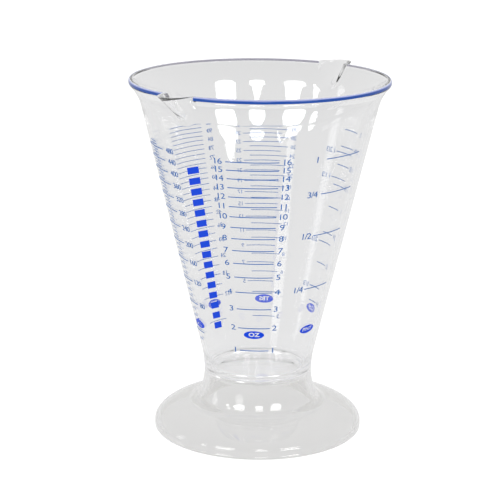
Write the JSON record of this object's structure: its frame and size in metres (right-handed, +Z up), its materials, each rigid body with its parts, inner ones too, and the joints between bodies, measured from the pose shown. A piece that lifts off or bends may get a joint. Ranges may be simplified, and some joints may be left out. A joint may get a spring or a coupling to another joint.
{
  "type": "footed measuring cup",
  "caption": "Clear plastic conical measuring cup with a flared lip, two pouring spouts, a hollow domed foot and printed volume scales.",
  "frame": {"origin": "centre of the foot's underside, on the cup's axis, at the level of the table", "axes": "+Z up along the cup's axis; the ounce scale faces -Y; seen from the ounce scale, the near spout is 33 degrees to the left"},
  "size_m": [0.1222, 0.1222, 0.17],
  "materials": {
    "clear_plastic": "clear polished polystyrene",
    "scale_ink": "thin screen-printed ink, satin",
    "badge_ink": "solid screen-printed ink, satin",
    "rim_foil": "hot-stamped gloss foil"
  },
  "bodies": {
    "root": {"cup_body": "clear_plastic", "foot_base": "clear_plastic", "rim_stamp_left": "rim_foil", "rim_stamp_right": "rim_foil", "ounce_lines": "scale_ink", "pint_lines": "scale_ink", "cup_quarter_lines": "scale_ink", "cup_third_lines": "scale_ink", "tablespoon_lines": "scale_ink", "teaspoon_lines": "scale_ink", "millilitre_major_lines": "scale_ink", "millilitre_minor_lines": "scale_ink", "ounce_badge": "badge_ink", "pint_badge": "badge_ink", "cup_badge": "badge_ink", "tablespoon_badge": "badge_ink", "teaspoon_badge": "badge_ink", "millilitre_badge": "badge_ink", "side_bars": "badge_ink"}
  },
  "joints": []
}
